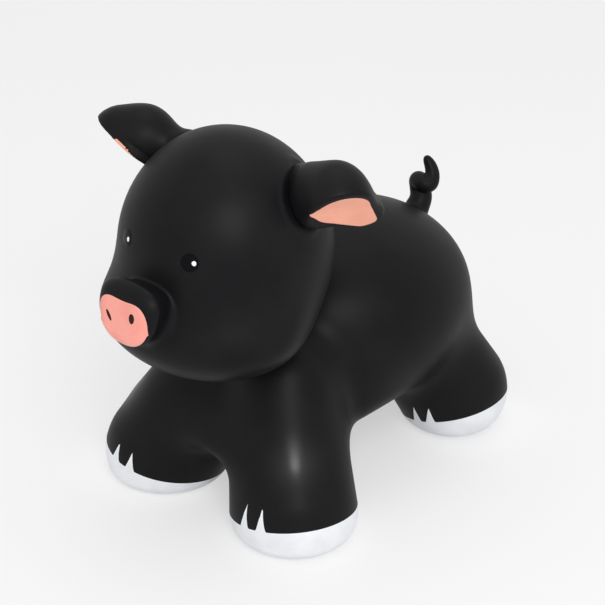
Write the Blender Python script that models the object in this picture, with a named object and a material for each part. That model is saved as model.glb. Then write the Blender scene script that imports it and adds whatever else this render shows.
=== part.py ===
# Bouncy ride-on piglet: an inflatable moulded skin, in the sections that flex or carry their own colour.
# The piglet faces -Y, its own left is +X, and it stands on z = 0 with the middle of its length at y = 0.
# Lengths are in metres.

import math

import bmesh
import bpy
import numpy as np
from mathutils import Matrix, Vector

for old in list(bpy.data.objects):
    bpy.data.objects.remove(old, do_unlink=True)

mm = 0.001
degree = math.pi / 180

# Skin
wall = 2.6 * mm
seam_gap = 0.3 * mm
overrun = 8.0 * mm

# Torso: a chest and a rump that run into each other, with a flattened belly
chest_y = 0.0 * mm
chest_height = 65.0 * mm
chest_half_width = 110.0 * mm
chest_half_length = 165.0 * mm
chest_half_depth = 97.0 * mm
rump_y = 106.0 * mm
rump_height = 171.0 * mm
rump_half_width = 141.0 * mm
rump_half_length = 159.5 * mm
rump_half_depth = 120.0 * mm
waist_blend = 47.0 * mm
belly_height = 80.0 * mm
belly_blend = 35.0 * mm

# Legs: tapered limbs from the hip to a swollen foot, standing on a flat sole
front_hip_x = 51.0 * mm
front_hip_forward = 61.5 * mm
front_hip_height = 148.0 * mm
front_foot_x = 98.0 * mm
front_foot_forward = 109.0 * mm
front_foot_height = 28.0 * mm
front_hip_radius = 57.0 * mm
front_foot_radius = 70.0 * mm
rear_hip_x = 42.5 * mm
rear_hip_y = 154.5 * mm
rear_hip_height = 154.0 * mm
rear_foot_x = 94.5 * mm
rear_foot_y = 195.0 * mm
rear_foot_height = 45.5 * mm
rear_hip_radius = 61.5 * mm
rear_foot_radius = 68.0 * mm
leg_blend = 30.0 * mm
valley = 16.0 * mm
sole_blend = 16.0 * mm
front_seam_share = 0.42
rear_seam_share = 0.37
leg_reach_share = 0.75

# Hooves: a white cup that ends in a tilted line, with two toe tongues at the front
front_line_height = 29.0 * mm
front_line_rise = 14.0 * mm
front_line_turn = 62.0 * degree
rear_line_height = 31.0 * mm
rear_line_rise = 18.0 * mm
rear_line_turn = 105.0 * degree
toe_height = 21.0 * mm
toe_half_width = 6.8 * mm
toe_lean = 2.5 * mm
toe_spacing = 26.0 * mm

# Head: a tall egg with full jowls, sunk a little into the shoulders above the neck's pivot
head_forward = 105.5 * mm
head_sink = 9.1 * mm
head_half_width = 117.5 * mm
head_half_length = 113.5 * mm
head_half_depth = 134.5 * mm
jowl_forward = 45.0 * mm
jowl_drop = 66.5 * mm
jowl_half_width = 120.5 * mm
jowl_half_length = 88.0 * mm
jowl_half_depth = 54.0 * mm
jowl_blend = 42.0 * mm

# Neck: the head rocks on the fold of skin around it
neck_forward = 24.0 * mm
neck_depth = 25.5 * mm
neck_seam_radius = 95.0 * mm

# Muzzle: a short rounded barrel, turned up a little, with the snout pad let into its face
muzzle_forward = 44.5 * mm
muzzle_drop = 25.5 * mm
muzzle_half_width = 40.0 * mm
muzzle_half_height = 30.0 * mm
muzzle_length = 84.0 * mm
muzzle_turn = 10.0 * degree
muzzle_rim = 12.5 * mm
muzzle_blend = 14.5 * mm
muzzle_seam_depth = 56.0 * mm
muzzle_seam_border = 13.0 * mm
pad_border = 3.0 * mm
pad_thickness = 1.5 * mm
nostril_spacing = 24.0 * mm
nostril_half_width = 3.6 * mm
nostril_half_height = 7.0 * mm
nostril_thickness = 1.1 * mm
pad_dip_share = 0.12
pad_dip_spread = 26.0 * degree
pad_chin_share = 0.12

# Eyes: low glossy domes with a small raised glint
eye_x = 42.5 * mm
eye_rise = 29.5 * mm
eye_radius = 10.2 * mm
eye_depth = 1.6 * mm
glint_radius = 3.2 * mm
glint_depth = 0.7 * mm
glint_shift = 4.6 * mm

# Ears: a leaf of three swellings, sliced flat on the side that carries the lining
ear_seat_shares = np.array((0.677, 0.218, 0.703))
ear_sink = 8.1 * mm
ear_spread = 70.5 * mm
ear_forward = 17.0 * mm
ear_rise = 10.5 * mm
ear_tip_out = 3.0 * mm
ear_tip_back = 42.5 * mm
ear_tip_drop = 21.5 * mm
ear_root_radius = 14.5 * mm
ear_middle_radius = 32.5 * mm
ear_tip_radius = 18.0 * mm
ear_blend = 10.0 * mm
ear_stretch = 1.25
ear_facing_shares = np.array((0.62, -0.36, -0.58))
ear_face_depth = 12.0 * mm
ear_rim_blend = 8.0 * mm
ear_wall = 5.5 * mm
ear_pivot_reach = 8.0 * mm
ear_seam_radius = 36.0 * mm
lining_border = 8.6 * mm
lining_thickness = 1.2 * mm

# Tail: a thick stem that leans back, loops once and ends in a horn
tail_back = 127.0 * mm
tail_pivot_sink = 5.6 * mm
tail_size = 66.0 * mm
tail_stem_radius = 12.5 * mm
tail_seam_radius = 22.0 * mm
tail_blend = 2.5 * mm
# Each bend's x, y and height as shares of the tail's size, and its girth as a share of the stem's radius
tail_bend_shares = np.array((
    (0.0, 0.0, -0.04, 1.16),
    (0.03, 0.10, 0.11, 1.06),
    (0.02, 0.20, 0.27, 0.98),
    (-0.05, 0.245, 0.415, 0.90),
    (-0.06, 0.21, 0.57, 0.82),
    (0.10, 0.14, 0.575, 0.75),
    (0.20, 0.215, 0.57, 0.72),
    (0.23, 0.30, 0.635, 0.67),
    (0.205, 0.36, 0.74, 0.60),
    (0.145, 0.38, 0.865, 0.51),
    (0.065, 0.365, 0.985, 0.34),
))

# Air valve: a moulded seat let into the belly, and the ribbed plug that closes it
valve_y = 62.0 * mm
seat_lip_radius = 16.0 * mm
seat_lip_thickness = 1.6 * mm
seat_body_radius = 12.0 * mm
seat_body_height = 13.0 * mm
seat_bore_radius = 7.6 * mm
plug_flange_radius = 12.0 * mm
plug_flange_thickness = 2.4 * mm
plug_barrel_radius = 6.6 * mm
plug_rib_radius = 7.2 * mm
plug_rib_pitch = 4.5 * mm
plug_length = 21.0 * mm
plug_nose_radius = 4.6 * mm
plug_ribs = 3

# Facet sizes
torso_facet = 28.0 * mm
head_facet = 23.5 * mm
leg_facet = 21.0 * mm
ear_facet = 12.0 * mm
muzzle_facet = 10.5 * mm
tail_facet = 6.0 * mm
inner_facet_share = 1.4
line_steps = 20
round_steps = 16
outline_steps = 24
neck_ball_steps = 20
ear_ball_steps = 12
tail_ball_steps = 12
eye_steps = 12
glint_steps = 10
glint_spin = 7.0 * degree
net_margin_share = 1.37
finer_share = 0.94
probe_step = 0.2 * mm
merge_reach = 0.02 * mm
smooth_angle = 35.0 * degree
ray_steps = 400
ring_reach_share = 2.2
lining_reach_share = 3.0
slope_floor_share = 0.2

# Places that follow from the sizes
front_hip = np.array((front_hip_x, -front_hip_forward, front_hip_height))
front_foot = np.array((front_foot_x, -front_foot_forward, front_foot_height))
rear_hip = np.array((rear_hip_x, rear_hip_y, rear_hip_height))
rear_foot = np.array((rear_foot_x, rear_foot_y, rear_foot_height))
valve_height = belly_height
upward = np.array((0.0, 0.0, 1.0))
forward = np.array((0.0, -1.0, 0.0))


def material(name, colour, roughness):
    made = bpy.data.materials.new(name)
    made.use_nodes = True
    shader = made.node_tree.nodes["Principled BSDF"]
    shader.inputs["Base Color"].default_value = (*colour, 1.0)
    shader.inputs["Roughness"].default_value = roughness
    shader.inputs["Metallic"].default_value = 0.0
    made.diffuse_color = (*colour, 1.0)
    return made


skin_black = (0.030, 0.030, 0.033)
paint_pink = (0.93, 0.37, 0.29)
lining_pink = (0.87, 0.37, 0.26)
hoof_white = (0.84, 0.86, 0.88)
eye_black = (0.008, 0.008, 0.010)
glint_white = (0.93, 0.93, 0.93)
plug_white = (0.80, 0.80, 0.78)
skin_roughness = 0.55
paint_roughness = 0.50
gloss_roughness = 0.15


# Shapes as signed distances: negative inside, positive outside

def joined(a, b, blend):
    """The smaller of two distances, rounded where they meet."""
    share = np.clip(0.5 + 0.5 * (b - a) / blend, 0.0, 1.0)
    return b + (a - b) * share - blend * share * (1.0 - share)


def trimmed(a, b, blend):
    """The larger of two distances, rounded where they meet."""
    return -joined(-a, -b, blend)


def egg(points, centre, radii):
    offset = points - np.array(centre)
    radii = np.array(radii)
    near = np.linalg.norm(offset / radii, axis=-1)
    slope = np.linalg.norm(offset / radii ** 2, axis=-1)
    return near * (near - 1.0) / np.maximum(slope, np.finfo(float).eps)


def limb(points, start, end, start_radius, end_radius):
    """A capsule whose radius changes evenly from one end to the other."""
    along = end - start
    length_squared = along @ along
    taper = start_radius - end_radius
    straight = length_squared - taper * taper
    offset = points - start
    y = offset @ along
    z = y - length_squared
    across = ((offset * length_squared - y[..., None] * along) ** 2).sum(-1)
    side = np.sign(taper) * taper * taper * across
    past_end = np.sign(z) * straight * z * z * length_squared > side
    before_start = np.sign(y) * straight * y * y * length_squared < side
    distance = (np.sqrt(across * straight / length_squared) + y * taper) / length_squared - start_radius
    distance = np.where(past_end, np.linalg.norm(points - end, axis=-1) - end_radius, distance)
    return np.where(before_start & ~past_end, np.linalg.norm(offset, axis=-1) - start_radius, distance)


def folded_sides(points):
    """Both sides laid over each other, with a soft valley instead of a crease down the middle."""
    folded = points.copy()
    folded[..., 0] = np.sqrt(folded[..., 0] ** 2 + valley ** 2)
    return folded


def body_skin(points):
    folded = folded_sides(points)
    chest = egg(points, (0.0, chest_y, chest_height), (chest_half_width, chest_half_length, chest_half_depth))
    rump = egg(points, (0.0, rump_y, rump_height), (rump_half_width, rump_half_length, rump_half_depth))
    torso = trimmed(joined(chest, rump, waist_blend), belly_height - points[..., 2], belly_blend)
    front = limb(folded, front_hip, front_foot, front_hip_radius, front_foot_radius)
    rear = limb(folded, rear_hip, rear_foot, rear_hip_radius, rear_foot_radius)
    return trimmed(joined(torso, np.minimum(front, rear), leg_blend), -points[..., 2], sole_blend)


def seat_on(shape, start, direction, reach):
    """The place where a line from inside a shape comes out of its surface."""
    places = start + np.linspace(0.0, reach, ray_steps)[:, None] * direction
    outside = shape(places) > 0
    before = max(int(np.argmax(outside)) - 1, 0)
    first, second = shape(places[[before, before + 1]])
    return places[before] + first / (first - second) * (places[before + 1] - places[before])


shoulder_start = np.array((0.0, -neck_forward, (chest_height + rump_height) / 2))
shoulder = seat_on(body_skin, shoulder_start, upward, rump_height + rump_half_depth)
neck_pivot = shoulder - neck_depth * upward
nape_share = math.sqrt(1.0 - ((head_forward - neck_forward) / head_half_length) ** 2)
head_y = -head_forward
head_height = shoulder[2] - head_sink + head_half_depth * nape_share
head_middle = np.array((0.0, head_y, head_height))
muzzle_y = head_y - head_half_length - muzzle_forward
muzzle_height = head_height - muzzle_drop
eye_height = muzzle_height + muzzle_half_height + eye_rise


def muzzle_frame():
    """The middle of the muzzle's face, its outward direction and its upward direction."""
    centre = np.array((0.0, muzzle_y, muzzle_height))
    outward = np.array((0.0, -math.cos(muzzle_turn), math.sin(muzzle_turn)))
    upward = np.array((0.0, math.sin(muzzle_turn), math.cos(muzzle_turn)))
    return centre, outward, upward


def muzzle_skin(points):
    centre, outward, upward = muzzle_frame()
    offset = points - centre
    x = offset[..., 0] / muzzle_half_width
    y = (offset @ upward) / muzzle_half_height
    radial = (np.sqrt(x * x + y * y) - 1.0) * min(muzzle_half_width, muzzle_half_height) + muzzle_rim
    axial = np.abs(offset @ outward + muzzle_length / 2) - muzzle_length / 2 + muzzle_rim
    corner = np.sqrt(np.maximum(radial, 0.0) ** 2 + np.maximum(axial, 0.0) ** 2)
    return np.minimum(np.maximum(radial, axial), 0.0) + corner - muzzle_rim


def head_skin(points):
    skull = egg(points, head_middle, (head_half_width, head_half_length, head_half_depth))
    jowls = egg(points, head_middle - (0.0, jowl_forward, jowl_drop),
                (jowl_half_width, jowl_half_length, jowl_half_depth))
    return joined(joined(skull, jowls, jowl_blend), muzzle_skin(points), muzzle_blend)


ear_out = ear_seat_shares / np.linalg.norm(ear_seat_shares)
ear_root = seat_on(head_skin, head_middle, ear_out, 2 * head_half_depth) - ear_sink * ear_out
ear_middle = ear_root + (ear_spread, -ear_forward, ear_rise)
ear_tip = ear_middle + (ear_tip_out, ear_tip_back, -ear_tip_drop)
ear_normal = ear_facing_shares / np.linalg.norm(ear_facing_shares)
ear_axis = (ear_middle - ear_root) / np.linalg.norm(ear_middle - ear_root)
ear_pivot = ear_root + ear_pivot_reach * ear_axis


def ear_leaf(points):
    """The ear before its face is sliced flat, stretched along the direction that it faces."""
    def squeezed(place):
        depth = (place - ear_root) @ ear_normal
        return place + (1.0 / ear_stretch - 1.0) * depth[..., None] * ear_normal

    near, middle, tip = (squeezed(place[None])[0] for place in (ear_root, ear_middle, ear_tip))
    inner = limb(squeezed(points), near, middle, ear_root_radius, ear_middle_radius)
    outer = limb(squeezed(points), middle, tip, ear_middle_radius, ear_tip_radius)
    return joined(inner, outer, ear_blend)


def ear_skin(points):
    face = (points - ear_middle) @ ear_normal - ear_face_depth
    return trimmed(ear_leaf(points), face, ear_rim_blend)


# Meshes

def slope_of(shape, points):
    """The direction in which the distance grows, and how fast."""
    nudges = np.eye(3) * probe_step
    rises = [shape(points + nudge) - shape(points - nudge) for nudge in nudges]
    return np.stack(rises, -1) / (2 * probe_step)


def settled(points, shape, passes=6):
    """Points moved along the slope onto the shape's surface."""
    for _ in range(passes):
        slope = slope_of(shape, points)
        steep = np.maximum((slope ** 2).sum(-1), slope_floor_share)
        points = points - (shape(points) / steep)[:, None] * slope
    return points


def net_over(shape, low, high, facet, tries=5):
    """Points and quads over a shape: a point for each grid cell that the surface crosses,
    and a quad for each grid edge that it crosses, evened out and settled on the surface.
    Where two sheets of skin share a cell, the whole net is made again on a finer grid."""
    margin = facet * net_margin_share
    low, high = np.array(low), np.array(high)
    counts = np.ceil((high - low + 2 * margin) / facet).astype(int) + 1
    corner_place = low - margin
    grid = np.stack(np.meshgrid(*(np.arange(count) for count in counts), indexing="ij"), -1)
    value = shape((corner_place + grid * facet).reshape(-1, 3)).reshape(counts)
    total = np.zeros((value.size, 3))
    crossings = np.zeros(value.size)
    quads = []
    for axis in range(3):
        step = np.eye(3, dtype=int)[axis]
        across, up = np.eye(3, dtype=int)[(axis + 1) % 3], np.eye(3, dtype=int)[(axis + 2) % 3]
        before = np.argwhere(np.diff(np.signbit(value), axis=axis))
        first, second = value[tuple(before.T)], value[tuple((before + step).T)]
        place = corner_place + facet * (before + (first / (first - second))[:, None] * step)
        around = [before - across - up, before - up, before, before - across]
        cells = np.stack([np.ravel_multi_index(cell.T, counts) for cell in around], 1)
        for corner in range(4):
            np.add.at(total, cells[:, corner], place)
            np.add.at(crossings, cells[:, corner], 1)
        quads.append(np.where((first < 0)[:, None], cells, cells[:, ::-1]))
    used, quads = np.unique(np.concatenate(quads), return_inverse=True)
    quads = quads.reshape(-1, 4)
    points = total[used] / crossings[used][:, None]
    edges = np.concatenate([quads[:, [k, (k + 1) % 4]] for k in range(4)])
    single, uses = np.unique(np.sort(edges, axis=1), axis=0, return_counts=True)
    simple = (uses == 2).all() and len(points) - len(single) + len(quads) == 2
    if tries and not simple:
        return net_over(shape, low, high, facet * finer_share, tries - 1)
    neighbours = np.bincount(edges.ravel(), minlength=len(points))[:, None]
    for _ in range(4):
        points = settled(points, shape, 3)
        sums = np.zeros_like(points)
        np.add.at(sums, edges[:, 0], points[edges[:, 1]])
        np.add.at(sums, edges[:, 1], points[edges[:, 0]])
        points = 0.5 * points + 0.5 * sums / neighbours
    return settled(points, shape), quads


def within(shape, centre, radius):
    """The part of a shape inside a ball."""
    return lambda points: np.maximum(shape(points), np.linalg.norm(points - centre, axis=-1) - radius)


def swollen(shape, amount):
    """A shape whose surface has moved out by an amount, or in where it is negative."""
    return lambda points: shape(points) - amount


def turned(mesh, side):
    """A net as it lies on one side of the piglet: 1 is its left, -1 its right."""
    points, quads = mesh
    return (points, quads) if side > 0 else (points * (-1, 1, 1), quads[:, ::-1])


def new_object(name, points, faces, finish=None):
    """An object in flat triangles, since the cuts need flat faces."""
    mesh = bpy.data.meshes.new(name)
    mesh.from_pydata([tuple(point) for point in points], [], [tuple(int(k) for k in face) for face in faces])
    working = bmesh.new()
    working.from_mesh(mesh)
    bmesh.ops.triangulate(working, faces=working.faces, quad_method="SHORT_EDGE")
    working.to_mesh(mesh)
    working.free()
    made = bpy.data.objects.new(name, mesh)
    bpy.context.scene.collection.objects.link(made)
    if finish:
        mesh.materials.append(finish)
        mesh.shade_smooth()
        mesh.set_sharp_from_angle(angle=smooth_angle)
    else:
        made.hide_render = True
        made.display_type = "WIRE"
    return made


def shell(name, outer, inner, finish):
    """A hollow piece: an outer skin, and the air space inside it, wound the other way round."""
    points = np.concatenate([outer[0], inner[0]])
    quads = np.concatenate([outer[1], inner[1][:, ::-1] + len(outer[0])])
    return new_object(name, points, quads, finish)


def grown(mesh, shape, amount):
    """The same net moved out by an even amount, so that its facets stay parallel."""
    points, quads = mesh
    slope = slope_of(shape, points)
    return points + amount * slope / np.linalg.norm(slope, axis=-1, keepdims=True), quads


def apply_cut(piece, cutter, operation="DIFFERENCE"):
    change = piece.modifiers.new(cutter.name, "BOOLEAN")
    change.operation = operation
    change.solver = "EXACT"
    change.object = cutter


def keep_within(piece, cutter):
    apply_cut(piece, cutter, "INTERSECT")


def cleaned(piece):
    """Closes the hair-thin edges that the cuts leave behind."""
    weld = piece.modifiers.new("weld", "WELD")
    weld.merge_threshold = merge_reach
    return piece


def twin(name, original, finish):
    """A right-hand piece: the mirror image of the finished left-hand one."""
    bpy.context.view_layer.update()
    finished = original.evaluated_get(bpy.context.evaluated_depsgraph_get())
    mesh = bpy.data.meshes.new_from_object(finished)
    mesh.name = name
    mesh.transform(Matrix.Scale(-1, 4, (1, 0, 0)))
    mesh.flip_normals()
    mesh.materials.clear()
    mesh.materials.append(finish)
    made = bpy.data.objects.new(name, mesh)
    bpy.context.scene.collection.objects.link(made)
    return made


def stacked_rings(name, rings, finish=None):
    """A closed solid through rings of equal count, each fanned shut at the two ends."""
    count = len(rings[0])
    points = np.concatenate([*rings, rings[0].mean(0)[None], rings[-1].mean(0)[None]])
    last = len(points) - 1
    k = np.arange(count)
    after = (k + 1) % count
    faces = [(a, b, b + count, a + count) for row in range(len(rings) - 1)
             for a, b in zip(row * count + k, row * count + after)]
    faces += [(last - 1, b, a) for a, b in zip(k, after)]
    top = (len(rings) - 1) * count
    faces += [(last, top + a, top + b) for a, b in zip(k, after)]
    return new_object(name, points, faces, finish)


def as_cutter(name, mesh):
    return new_object(name, *mesh)


def ball_cutter(name, centre, radius, steps):
    """A faceted ball; for the same steps, two balls with one centre keep their facets parallel."""
    mesh = bpy.data.meshes.new(name)
    working = bmesh.new()
    bmesh.ops.create_uvsphere(working, u_segments=steps * 2, v_segments=steps, radius=radius)
    bmesh.ops.translate(working, verts=working.verts, vec=Vector(centre))
    working.to_mesh(mesh)
    working.free()
    made = bpy.data.objects.new(name, mesh)
    bpy.context.scene.collection.objects.link(made)
    made.hide_render = True
    made.display_type = "WIRE"
    return made


def room_radius(radius, steps):
    """The ball that a faceted ball of this radius can turn inside without touching a facet."""
    return (radius + seam_gap) / math.cos(math.pi / 2 / steps) ** 2


def turned_solid(name, profile, centre, finish=None, steps=round_steps):
    """A profile of (radius, height) pairs, listed from the bottom up, turned about a vertical axis.
    It closes on itself, so the turned solid has a bore where no pair lies on the axis."""
    angles = np.arange(steps) * 2 * math.pi / steps
    rings = [np.stack([radius * np.cos(angles), radius * np.sin(angles), np.full(steps, height)], 1) + centre
             for radius, height in profile]
    if profile[0][0] == 0:
        return stacked_rings(name, rings[1:-1], finish)
    points = np.concatenate(rings)
    count = len(rings)
    faces = [(row * steps + k, row * steps + (k + 1) % steps,
              (row + 1) % count * steps + (k + 1) % steps, (row + 1) % count * steps + k)
             for row in range(count) for k in range(steps)]
    return new_object(name, points, faces, finish)


def plate(name, outline, centre, right, up, outward, back, front, finish=None):
    """A flat plate: an outline of (right, up) pairs, between two depths along the outward direction."""
    flat = centre + outline[:, :1] * right + outline[:, 1:] * up
    return stacked_rings(name, [flat + back * outward, flat + front * outward], finish)


# Finishes, one for each node

def black(name):
    return material(name, skin_black, skin_roughness)


def white(name):
    return material(name, hoof_white, paint_roughness)


# Legs and hooves
belly_low = (-rump_half_width - overrun, -chest_half_length - front_foot_radius, 0.0)
body_high = (rump_half_width + front_foot_radius, rump_y + rump_half_length + overrun,
             rump_height + rump_half_depth + overrun)
body_low = (-body_high[0], belly_low[1], 0.0)

legs = {
    "front": (front_hip, front_foot, front_foot_radius, front_seam_share,
              front_line_height, front_line_rise, front_line_turn),
    "rear": (rear_hip, rear_foot, rear_foot_radius, rear_seam_share,
             rear_line_height, rear_line_rise, rear_line_turn),
}


def seam_ring(hip, foot, share, count=outline_steps):
    """The leg's girth at its seam: the seam's middle, its axis, and points just outside the skin,
    which stop short of the other side's leg."""
    axis = (hip - foot) / np.linalg.norm(hip - foot)
    middle = foot + share * (hip - foot)
    across = np.cross(axis, (0.0, 1.0, 0.0))
    across /= np.linalg.norm(across)
    up = np.cross(axis, across)
    angles = np.arange(count) * 2 * math.pi / count
    spokes = np.cos(angles)[:, None] * across + np.sin(angles)[:, None] * up
    reach = np.linspace(0.0, ring_reach_share * max(front_foot_radius, rear_foot_radius), ray_steps)
    samples = middle + reach[None, :, None] * spokes[:, None]
    outside = body_skin(samples) > 0
    girth = np.where(outside.any(axis=1), reach[np.argmax(outside, axis=1)], reach[-1]) + overrun / 2
    inward = np.maximum(-spokes[:, 0], np.finfo(float).eps)
    return middle, axis, middle + np.minimum(girth, (middle[0] - seam_gap) / inward)[:, None] * spokes


def hoof_line(radius, height, rise, turn, clearance):
    """Angles round the foot, from the front towards the outside, and the white line's height at each.
    Two toe tongues stand up from the line near the front."""
    toe_turn = toe_spacing / radius / 2
    half, lean = toe_half_width / radius, toe_lean / radius
    marks = []
    for centre in (-toe_turn, toe_turn):
        marks += [(centre - half, 0.0), (centre - lean, 1.0), (centre + half, 0.0)]
    spread = np.linspace(marks[-1][0], 2 * math.pi + marks[0][0], line_steps)[1:-1]
    angles = np.array([mark[0] for mark in marks] + list(spread))
    stand = np.array([mark[1] for mark in marks] + [0.0] * len(spread)) * toe_height
    heights = height + rise * np.cos(angles - turn) + stand
    steep = math.hypot(1.0, toe_height / toe_half_width)
    near_toe = np.array([1.0] * len(marks) + [0.0] * len(spread))
    heights += clearance * (1.0 + near_toe * (steep - 1.0))
    return angles, heights


def leg_box(foot, reach):
    low = foot - reach
    low[2] = 0.0
    return low, foot + reach


def hoof_block(name, foot, radius, line, clearance):
    angles, heights = hoof_line(radius, *line, clearance)
    direction = np.stack([np.sin(angles), -np.cos(angles), np.zeros(len(angles))], 1)
    foot_point = np.array((foot[0], foot[1], 0.0))
    up = np.array((0.0, 0.0, 1.0))
    rings = []
    for reach, level in ((radius + overrun, None), (radius + overrun, heights), (radius / 2, heights)):
        z = np.full(len(angles), -overrun) if level is None else level
        rings.append(foot_point + reach * direction + z[:, None] * up)
    return stacked_rings(name, rings)


leg_trims = []
for place, (hip, foot, foot_radius, seam_share, *line) in legs.items():
    reach = np.linalg.norm(hip - foot) * seam_share + foot_radius * leg_reach_share
    leg_skin = within(body_skin, foot, reach)
    outer = net_over(leg_skin, *leg_box(foot, reach), leg_facet)
    inner = grown(outer, leg_skin, -wall)
    middle, axis, ring = seam_ring(hip, foot, seam_share)
    spokes = (ring - middle) / np.linalg.norm(ring - middle, axis=1)[:, None]
    foot_ring = foot + spokes * (foot_radius + overrun)
    floor_ring = foot_ring - axis * (foot_radius + overrun)
    lower = [floor_ring, foot_ring]
    block = stacked_rings("leg_block_" + place, [*lower, ring - axis * seam_gap / 2])
    hoof_cut = hoof_block("hoof_cut_" + place, foot, foot_radius, line, seam_gap)
    hoof_keep = hoof_block("hoof_keep_" + place, foot, foot_radius, line, 0.0)
    leg = shell("leg_%s_left" % place, outer, inner, black("leg_%s_left" % place))
    keep_within(leg, block)
    apply_cut(leg, hoof_cut)
    hoof = shell("hoof_%s_left" % place, outer, inner, white("hoof_%s_left" % place))
    keep_within(hoof, hoof_keep)
    cleaned(hoof)
    twin("hoof_%s_right" % place, hoof, white("hoof_%s_right" % place))
    cleaned(leg)
    twin("leg_%s_right" % place, leg, black("leg_%s_right" % place))
    for side, word in ((1, "left"), (-1, "right")):
        trim = [level * (side, 1, 1) for level in (*lower, ring + axis * seam_gap / 2)]
        leg_trims.append(stacked_rings("leg_trim_%s_%s" % (place, word), [level[::side] for level in trim]))


# Torso, neck and head

def head_box():
    low = np.array((-jowl_half_width, muzzle_y, head_height - head_half_depth)) - overrun
    high = np.array((jowl_half_width, head_y + head_half_length, head_height + head_half_depth)) + overrun
    return low, high


body_outer = net_over(body_skin, body_low, body_high, torso_facet)
body_inner = grown(body_outer, body_skin, -wall)
head_outer = net_over(head_skin, *head_box(), head_facet)
head_inner = grown(head_outer, head_skin, -wall)

body_air = as_cutter("body_air", body_inner)
head_room = as_cutter("head_room", grown(head_outer, head_skin, seam_gap))
body_room = as_cutter("body_room", grown(body_outer, body_skin, seam_gap))
neck_ball = ball_cutter("neck_ball", neck_pivot, neck_seam_radius, neck_ball_steps)
neck_clear = room_radius(neck_seam_radius, neck_ball_steps)
neck_room = ball_cutter("neck_room", neck_pivot, neck_clear, neck_ball_steps)

torso = shell("torso", body_outer, body_inner, black("torso"))
for trim in leg_trims:
    apply_cut(torso, trim)
apply_cut(torso, neck_room)

neck = shell("neck", body_outer, body_inner, black("neck"))
keep_within(neck, neck_ball)
apply_cut(neck, head_room)

head = shell("head", head_outer, head_inner, black("head"))
apply_cut(head, body_air)


# Muzzle, snout pad and nostrils

def oval(half_width, half_height, count=round_steps):
    angles = np.arange(count) * 2 * math.pi / count
    return np.stack([half_width * np.cos(angles), half_height * np.sin(angles)], 1)


def snout_outline(border, count=outline_steps):
    """The pad's shield shape: an oval with a shallow dip at the top and a narrower chin."""
    angles = np.arange(count) * 2 * math.pi / count
    dip = pad_dip_share * np.exp(-((angles - math.pi / 2) / pad_dip_spread) ** 2)
    narrow = 1.0 - pad_chin_share * np.clip(-np.sin(angles), 0.0, 1.0) ** 2
    reach = np.stack([(muzzle_half_width - border) * narrow * np.cos(angles),
                      (muzzle_half_height - border) * np.sin(angles)], 1)
    return reach * (1.0 - dip)[:, None]


muzzle_centre, muzzle_out, muzzle_up = muzzle_frame()
muzzle_right = np.cross(muzzle_up, muzzle_out)
muzzle_axes = (muzzle_centre, muzzle_right, muzzle_up, muzzle_out)
muzzle_reach = muzzle_half_width + muzzle_seam_depth + overrun
muzzle_near = within(head_skin, muzzle_centre, muzzle_reach)
muzzle_low, muzzle_high = muzzle_centre - muzzle_reach, muzzle_centre + muzzle_reach
muzzle_outer = net_over(muzzle_near, muzzle_low, muzzle_high, muzzle_facet)
muzzle_inner = grown(muzzle_outer, muzzle_near, -wall)


def muzzle_column(name, clearance):
    border = muzzle_seam_border + clearance
    outline = oval(muzzle_half_width + border, muzzle_half_height + border, outline_steps)
    return plate(name, outline, *muzzle_axes, -muzzle_seam_depth, overrun)


pad_depth = 2 * muzzle_rim
pad_column = plate("pad_column", snout_outline(pad_border), *muzzle_axes, -pad_depth, overrun)
pad_pocket = plate("pad_pocket", snout_outline(pad_border - seam_gap), *muzzle_axes, -pad_depth, overrun)
pad_floor = as_cutter("pad_floor", grown(muzzle_outer, muzzle_near, -pad_thickness))
pad_back = as_cutter("pad_back", grown(muzzle_outer, muzzle_near, seam_gap - pad_thickness))
nostril_skin = grown(muzzle_outer, muzzle_near, nostril_thickness - pad_thickness)
apply_cut(pad_pocket, pad_floor)

muzzle = shell("muzzle", muzzle_outer, muzzle_inner, black("muzzle"))
keep_within(muzzle, muzzle_column("muzzle_block", 0.0))
apply_cut(muzzle, pad_pocket)
apply_cut(head, muzzle_column("muzzle_trim", seam_gap))

pad = new_object("snout_pad", *muzzle_outer, material("snout_pad", paint_pink, paint_roughness))
keep_within(pad, pad_column)
apply_cut(pad, pad_back)


def nostril_column(name, side, clearance):
    outline = oval(nostril_half_width + clearance, nostril_half_height + clearance)
    return plate(name, outline + (side * nostril_spacing / 2, 0.0), *muzzle_axes, -pad_depth, overrun)


for side, word in ((1, "left"), (-1, "right")):
    apply_cut(pad, nostril_column("nostril_hole_" + word, side, seam_gap))
nostril_left = new_object("nostril_left", *nostril_skin, material("nostril_left", eye_black, skin_roughness))
keep_within(nostril_left, nostril_column("nostril_column", 1, 0.0))
apply_cut(nostril_left, pad_back)
twin("nostril_right", cleaned(nostril_left), material("nostril_right", eye_black, skin_roughness))


# Eyes

def surface_frame(shape, point):
    """A point of a surface, with a direction out of it and two along it."""
    outward = slope_of(shape, point[None])[0]
    outward /= np.linalg.norm(outward)
    right = np.cross((0.0, 0.0, 1.0), outward)
    right /= np.linalg.norm(right)
    return point, outward, right, np.cross(outward, right)


def lens(name, frame, radius, depth, steps, finish=None):
    """A flattened ball whose rim lies on the skin."""
    point, outward, right, up = frame
    mesh = bpy.data.meshes.new(name)
    working = bmesh.new()
    bmesh.ops.create_uvsphere(working, u_segments=steps, v_segments=steps // 2, radius=1.0)
    axes = Matrix((right * radius, up * radius, outward * depth)).transposed().to_4x4()
    bmesh.ops.transform(working, verts=working.verts, matrix=Matrix.Translation(Vector(point)) @ axes)
    working.to_mesh(mesh)
    working.free()
    made = bpy.data.objects.new(name, mesh)
    bpy.context.scene.collection.objects.link(made)
    if finish:
        mesh.materials.append(finish)
        mesh.shade_smooth()
    else:
        made.hide_render = True
        made.display_type = "WIRE"
    return made


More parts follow.
